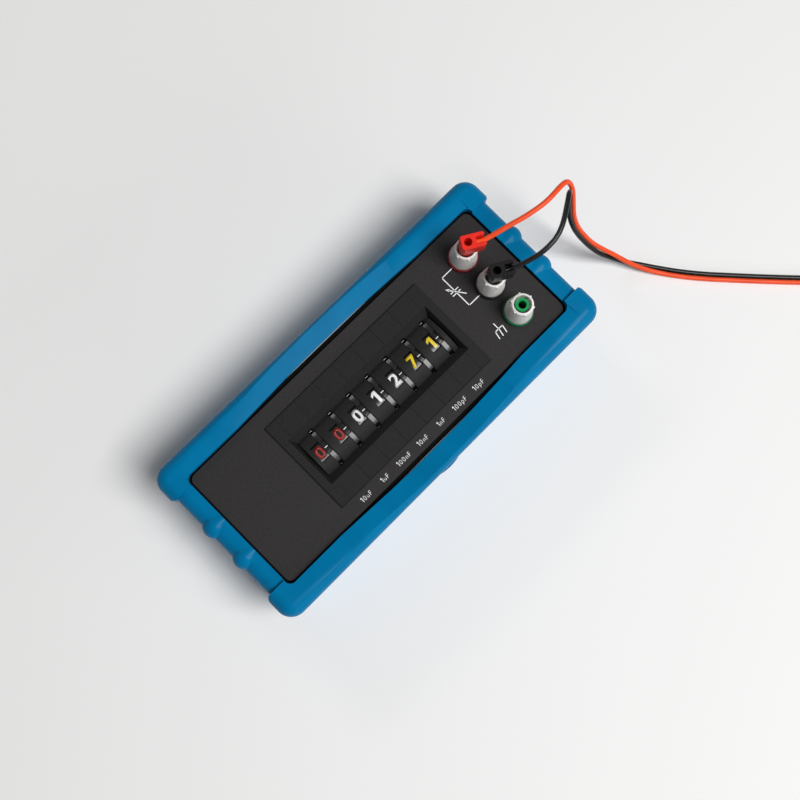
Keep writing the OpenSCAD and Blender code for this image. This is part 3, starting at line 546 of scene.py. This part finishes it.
# Nodes of one shape are broken once and copied to each place
def softCopies(nodes, bodies, slot, width, steps=2, look=None):
    first = copyOf(nodes[0], nodes[0] + "_soft")
    breakEdges(first, width, steps)
    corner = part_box(nodes[0])[0]
    pieces = [first]
    for node in nodes[1:]:
        pieces.append(copyPiece(first, node + "_soft", Matrix.Translation(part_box(node)[0] - corner)))
    for piece, node, body in zip(pieces, nodes, bodies):
        settle(piece, body, finishes[look or slot])
        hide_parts(node)


def numbered(stem):
    return [f"{stem}_{k}" for k in range(1, switchCount + 1)]


softCopies(["protective_boot"], ["box"], "boot_rubber", edgeWidth["boot"], steps=3)
softCopies(numbered("switch_housing"), ["box"] * switchCount, "switch_black", edgeWidth["housing"])
softCopies(numbered("thumbwheel"), numbered("wheel"), "wheel_black", edgeWidth["wheel"])
softCopies(["left_cheek"], ["box"], "switch_black", edgeWidth["cheek"])
softCopies(["right_cheek"], ["box"], "switch_black", edgeWidth["cheek"])
softCopies(["front_panel"], ["box"], "panel_paint", edgeWidth["panel"])
softCopies(["case_tub"], ["box"], "case_plastic", edgeWidth["tub"])
softCopies(["end_block"], ["box"], "tie_black", edgeWidth["block"], steps=3)
softCopies([f"{colour}_post_cap" for colour in posts], [f"{colour}_clamp_cap" for colour in posts],
           "cap_grey", edgeWidth["cap"], steps=3)
for colour in posts:
    softCopies([f"{colour}_post_base"], ["box"], f"post_{colour}", edgeWidth["post"], steps=3)
softCopies(["red_plug"], ["box"], "post_red", edgeWidth["plug"], steps=3, look="plug_red")
softCopies(["black_plug"], ["box"], "post_black", edgeWidth["plug"], steps=3)
print("edges broken")
# Digits round each drum, and the index line between the lugs

digit = {
    "count": 10,
    "height": 0.0065,
    "bold": 0.035,
    "slices": 9,
    "drumRadius": 0.0185,
    "lift": 0.00001,
    "thick": 0.00004,
    "windowMid": 0.0045,
    "slotMid": 0.00855,
}
digitOne = {
    "stemLeft": 0.02,
    "stemRight": 0.20,
    "tall": 0.72,
    "flagFoot": 0.56,
    "flagReach": (-0.17, -0.13, 0),
}
indexLine = {
    "wide": 0.0019,
    "tall": 0.00045,
    "thick": 0.00028,
    "edge": 0.00008,
    "edgeSteps": 2,
}
lettering = {
    "curveSteps": 6,
    "near": 0.01,  # points this close to the foot of the flag belong to it
}
wheelAxis = Vector(frame["joints"][0]["pos_m"])
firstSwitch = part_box("switch_housing_1")[0].x


def textMesh(name, words, bold):
    bpy.ops.object.text_add()
    piece = bpy.context.object
    piece.name = name
    piece.data.body = words
    piece.data.align_x = "CENTER"
    piece.data.offset = bold
    piece.data.resolution_u = lettering["curveSteps"]
    focus(piece)
    bpy.ops.object.convert(target="MESH")
    return bpy.context.object


# The figure one is a stem with its flag pulled out of the upper left edge
def oneMesh(look):
    piece = flatPlane("flat_1", look["stemLeft"], 0, look["stemRight"], look["tall"])
    edit(piece)
    bpy.ops.mesh.bisect(plane_co=(0, look["flagFoot"], 0), plane_no=(0, 1, 0))
    done()
    middle = (look["stemLeft"] + look["stemRight"]) / 2
    foot = look["flagFoot"] - lettering["near"]
    pickPoints(piece, lambda p: p.x < middle and p.y > foot)
    bpy.ops.mesh.extrude_region_move(TRANSFORM_OT_translate={"value": look["flagReach"]})
    done()
    return piece


# Each figure is centred, brought to its height and cut in slices that can bend
def drumFigure(number):
    piece = oneMesh(digitOne) if number == 1 else textMesh(f"flat_{number}", str(number), digit["bold"])
    left, right = spanOf(piece, 0)
    foot, top = spanOf(piece, 1)
    piece.data.transform(Matrix.Translation((-(left + right) / 2, -(foot + top) / 2, 0)))
    piece.data.transform(Matrix.Scale(digit["height"] / digitOne["tall"], 4))
    edit(piece)
    for i in range(1, digit["slices"]):
        level = digit["height"] * (i / digit["slices"] - 0.5)
        bpy.ops.mesh.select_all(action="SELECT")
        bpy.ops.mesh.bisect(plane_co=(0, level, 0), plane_no=(0, 1, 0))
    bpy.ops.mesh.select_all(action="SELECT")
    bpy.ops.mesh.normals_make_consistent(inside=False)
    done()
    return piece


# It is then bent to the drum and given the thickness of print
def bendToDrum(piece):
    foot, top = spanOf(piece, 1)
    piece.data.transform(Matrix.Rotation(math.radians(90), 4, "X"))
    applyModifier(piece, "SIMPLE_DEFORM", deform_method="BEND", deform_axis="X",
                  angle=(top - foot) / digit["drumRadius"])
    piece.data.transform(Matrix.Rotation(math.radians(-90), 4, "X"))
    applyModifier(piece, "SOLIDIFY", thickness=digit["thick"], offset=1)


def indexMesh(look):
    bpy.ops.object.select_all(action="DESELECT")
    bpy.ops.mesh.primitive_cube_add(size=1)
    piece = rename(bpy.context.object, "index_line")
    piece.scale = (look["wide"], look["tall"], look["thick"])
    applyPlace(piece)
    bevelAll(piece, look["edge"], look["edgeSteps"])
    return piece


def drumDigits(k, figures, line):
    start = firstSwitch + (k - 1) * bank["pitch"]
    lift = Matrix.Translation((0, 0, digit["drumRadius"] + digit["lift"]))
    copies = []
    for step in range(digit["count"]):
        turn = Matrix.Rotation(math.radians(-360 / digit["count"] * step), 4, "X")
        figure = figures[(bank["shown"][k - 1] + step) % digit["count"]]
        for source, across, finish in ((figure, "windowMid", bank["colours"][k - 1]),
                                       (line, "slotMid", "print_white")):
            middle = Matrix.Translation((start + digit[across], wheelAxis.y, wheelAxis.z))
            copy = copyPiece(source, "drum_mark", middle @ turn @ lift)
            copy.data.materials.append(finishes[finish])
            copies.append(copy)
    piece = joinPieces(copies, f"drum_print_{k}")
    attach(piece, f"wheel_{k}")


drumFigures = [drumFigure(number) for number in range(digit["count"])]
for figure in drumFigures:
    bendToDrum(figure)
indexMark = indexMesh(indexLine)
for k in range(1, switchCount + 1):
    drumDigits(k, drumFigures, indexMark)
for spare in drumFigures + [indexMark]:
    bpy.data.objects.remove(spare)
print("digits wrapped")


# White print on the panel: decade labels, capacitor symbol and chassis symbol

ink = {
    "thick": 0.00004,
    "stroke": 0.0005,
}
label = {
    "words": ("10uF", "1uF", "100nF", "10nF", "1nF", "100pF", "10pF"),
    "x": (-0.0403, -0.0278, -0.01495, -0.0021, 0.01055, 0.0234, 0.0364),
    "y": -0.0307,
    "height": 0.0026,
    "capital": 0.73,
    "bold": -0.006,
    "letterWide": 0.88,
    "letterGap": 0.18,
}
labelOne = {
    "stemLeft": 0.06,
    "stemRight": 0.16,
    "tall": 0.72,
    "flagFoot": 0.60,
    "flagReach": (-0.16, -0.11, 0),
}
capacitor = {
    "x": 0.0616,
    "reach": 0.0072,
    "plateHalf": 0.0024,
    "plateGap": 0.0016,
    "arrowTip": (-0.0031, 0.0043),
    "arrowNeck": (-0.0021, 0.0029),
    "arrowTail": (0.0032, -0.0042),
    "arrowLong": 0.0021,
    "arrowSlim": 0.66,
}
chassis = {
    "x": 0.0634,
    "top": -0.0150,
    "bar": -0.0184,
    "foot": -0.0222,
    "legs": (-0.0023, 0.0001, 0.0026),
    "legLean": 0.0008,
}
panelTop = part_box("front_panel")[1].z


def inkStroke(a, b):
    a, b = Vector(a), Vector(b)
    along = b - a
    wide = ink["stroke"]
    half = (along.length + wide) / 2
    piece = flatPlane("stroke", -half, -wide / 2, half, wide / 2)
    piece.rotation_euler.z = math.atan2(along.y, along.x)
    piece.location = ((a.x + b.x) / 2, (a.y + b.y) / 2, panelTop)
    applyPlace(piece)
    raiseSheet(piece, ink["thick"])
    return piece


# The arrow head starts as a circle of three points, its tip two thirds of its length from the middle
def inkArrow(tip, tail, size, slim):
    tip, tail = Vector(tip), Vector(tail)
    ahead = (tip - tail).normalized()
    middle = tip - ahead * size * 2 / 3
    bpy.ops.object.select_all(action="DESELECT")
    bpy.ops.mesh.primitive_circle_add(vertices=3, radius=size * 2 / 3, fill_type="NGON")
    piece = rename(bpy.context.object, "arrow")
    piece.scale.x = slim
    piece.rotation_euler.z = math.atan2(ahead.y, ahead.x) - math.pi / 2
    piece.location = (middle.x, middle.y, panelTop)
    applyPlace(piece)
    raiseSheet(piece, ink["thick"])
    return piece


def capacitorSign(look):
    x = look["x"]
    top, low = postPlace("red").y, postPlace("black").y
    mid = (top + low) / 2
    gap = look["plateGap"] / 2
    reach = x + look["reach"]
    half = look["plateHalf"]
    ends = [look[end] for end in ("arrowTip", "arrowNeck", "arrowTail")]
    tip, neck, tail = [(x + across, mid + along) for across, along in ends]
    pieces = [inkStroke((x, top), (reach, top)), inkStroke((x, low), (reach, low))]
    pieces += [inkStroke((x, top), (x, mid + gap)), inkStroke((x, low), (x, mid - gap))]
    pieces += [inkStroke((x - half, mid + s * gap), (x + half, mid + s * gap)) for s in (-1, 1)]
    pieces += [inkStroke(neck, tail), inkArrow(tip, tail, look["arrowLong"], look["arrowSlim"])]
    return pieces


def chassisSign(look):
    x, bar, legs = look["x"], look["bar"], look["legs"]
    pieces = [inkStroke((x, look["top"]), (x, bar))]
    pieces += [inkStroke((x + legs[0], bar), (x + legs[-1], bar))]
    for leg in legs:
        pieces.append(inkStroke((x + leg, bar), (x + leg - look["legLean"], look["foot"])))
    return pieces


# A label is set letter by letter, with the same figure one as the drums but a thinner stem
def labelPiece(words, x):
    letters = []
    edge = 0.0
    for letter in words:
        piece = oneMesh(labelOne) if letter == "1" else textMesh("letter", letter, label["bold"])
        piece.data.transform(Matrix.Scale(label["letterWide"], 4, Vector((1, 0, 0))))
        left, right = spanOf(piece, 0)
        piece.data.transform(Matrix.Translation((edge - left, 0, 0)))
        edge += right - left + label["letterGap"]
        letters.append(piece)
    row = joinPieces(letters, "label")
    half = (edge - label["letterGap"]) / 2
    row.data.transform(Matrix.Translation((-half, 0, 0)))
    row.data.transform(Matrix.Scale(label["height"] / label["capital"], 4))
    row.data.transform(Matrix.Translation((x, label["y"] - label["height"] / 2, panelTop)))
    raiseSheet(row, ink["thick"])
    return row


printPieces = [labelPiece(words, x) for words, x in zip(label["words"], label["x"])]
printPieces += capacitorSign(capacitor) + chassisSign(chassis)
panelPrint = joinPieces(printPieces, "panel_print")
settle(panelPrint, "box", finishes["print_white"])
print("panel printed")


# Thin black ring round the switch fronts: painted shade where the bezel's edge meets the panel

shadeRing = {
    "wide": {"top": 0.00055, "left": 0.0006, "right": 0.00035, "low": 0.0004},
    "ring": 0.0011,
    "thick": 0.00025,
}


def addGasket(look):
    low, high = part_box("left_cheek")[0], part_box("right_cheek")[1]
    wide = look["wide"]
    piece = flatPlane("bank_shade_ring", low.x - wide["left"], low.y - wide["low"],
                      high.x + wide["right"], high.y + wide["top"], panelTop)
    edit(piece)
    bpy.ops.mesh.inset(thickness=look["ring"])
    bpy.ops.mesh.delete(type="FACE")
    done()
    raiseSheet(piece, look["thick"])
    # the ring is painted shade, widest on the shaded sides
    settle(piece, "box", finishes["painted_shade_black"])


addGasket(shadeRing)
print("gasket laid")


# Thin black strips where the drum covers meet the sides of the well, open at each wheel slot: painted
# shade in the groove there

wellShade = {
    "runs": ((0.0001, 0.0072), (0.0099, 0.0126)),
    "from": 0.01055,
    "wide": 0.0006,
    "low": 0.0462,
    "tall": 0.00065,
    "edge": 0.0001,
    "edgeSteps": 2,
}


def addSeals(look):
    strips = []
    for hand in (1, -1):
        for x0, x1 in look["runs"]:
            inner, outer = sorted((hand * look["from"], hand * (look["from"] + look["wide"])))
            strip = flatPlane("strip", firstSwitch + x0, inner, firstSwitch + x1, outer, look["low"])
            raiseSheet(strip, look["tall"])
            bevelAll(strip, look["edge"], look["edgeSteps"])
            strips.append(strip)
    first = joinPieces(strips, "well_shade_strip_1")
    shadeStrips = [first]
    for k in range(1, switchCount):
        across = Matrix.Translation((k * bank["pitch"], 0, 0))
        shadeStrips.append(copyPiece(first, f"well_shade_strip_{k + 1}", across))
    for piece in shadeStrips:
        # the strips are painted shade
        settle(piece, "box", finishes["painted_shade_black"])


addSeals(wellShade)
print("seals laid")


# Floor, light and world

stageLook = {
    "floorRadius": 0.95,
    "floorSides": 128,
    "floorColour": (0.87, 0.866, 0.861),
    "floorRough": 0.8,
    "floorSpecular": 0.2,
    "world": (1.0, 0.995, 0.985),
    "worldLight": 0.08,
    "worldSeen": 0.78,
    "lampAim": (0, 0, 0.04),
}
lamps = [
    {"name": "key", "place": (0.40, -0.86, 1.87), "size": (0.87, 0.95), "power": 39.5},
    {"name": "edge", "place": (0.07, 0.84, 0.66), "size": (0.30, 0.13), "power": 0.9},
    {"name": "front", "place": (0.1, -1.22, 0.46), "size": (1.6, 0.20), "power": 3.2},
]


def addFloor(look):
    bpy.ops.mesh.primitive_circle_add(vertices=look["floorSides"], radius=look["floorRadius"],
                                      fill_type="NGON")
    floor = bpy.context.object
    floor.name = "floor"
    finish, _, shader = finishNodes("floor_paper")
    shader.inputs["Base Color"].default_value = look["floorColour"] + (1.0,)
    shader.inputs["Roughness"].default_value = look["floorRough"]
    shader.inputs["Specular IOR Level"].default_value = look["floorSpecular"]
    floor.data.materials.append(finish)


def backgroundOf(tree, colour, strength):
    background = tree.nodes.new("ShaderNodeBackground")
    background.inputs["Color"].default_value = colour + (1.0,)
    background.inputs["Strength"].default_value = strength
    return background.outputs["Background"]


# The world lights the object weakly, and is paler where it is seen, reflected or looked through
def addWorld(look):
    world = bpy.data.worlds.new("studio")
    bpy.context.scene.world = world
    world.use_nodes = True
    tree = world.node_tree
    tree.nodes.clear()
    path = tree.nodes.new("ShaderNodeLightPath")
    shown = path.outputs["Is Camera Ray"]
    for ray in ("Is Glossy Ray", "Is Transmission Ray"):
        either = tree.nodes.new("ShaderNodeMath")
        either.operation = "MAXIMUM"
        tree.links.new(shown, either.inputs[0])
        tree.links.new(path.outputs[ray], either.inputs[1])
        shown = either.outputs["Value"]
    pick = tree.nodes.new("ShaderNodeMixShader")
    out = tree.nodes.new("ShaderNodeOutputWorld")
    tree.links.new(shown, pick.inputs["Fac"])
    tree.links.new(backgroundOf(tree, look["world"], look["worldLight"]), pick.inputs[1])
    tree.links.new(backgroundOf(tree, look["world"], look["worldSeen"]), pick.inputs[2])
    tree.links.new(pick.outputs["Shader"], out.inputs["Surface"])


def addLamp(look, target):
    bpy.ops.object.light_add(type="AREA", location=look["place"])
    lamp = bpy.context.object
    lamp.name = look["name"]
    lamp.data.shape = "RECTANGLE"
    lamp.data.size, lamp.data.size_y = look["size"]
    lamp.data.energy = look["power"]
    aim = Vector(target) - Vector(look["place"])
    lamp.rotation_euler = aim.to_track_quat("-Z", "Y").to_euler()


addFloor(stageLook)
addWorld(stageLook)
for lampLook in lamps:
    addLamp(lampLook, stageLook["lampAim"])
bpy.context.scene.view_settings.view_transform = "Standard"
print("stage lit")
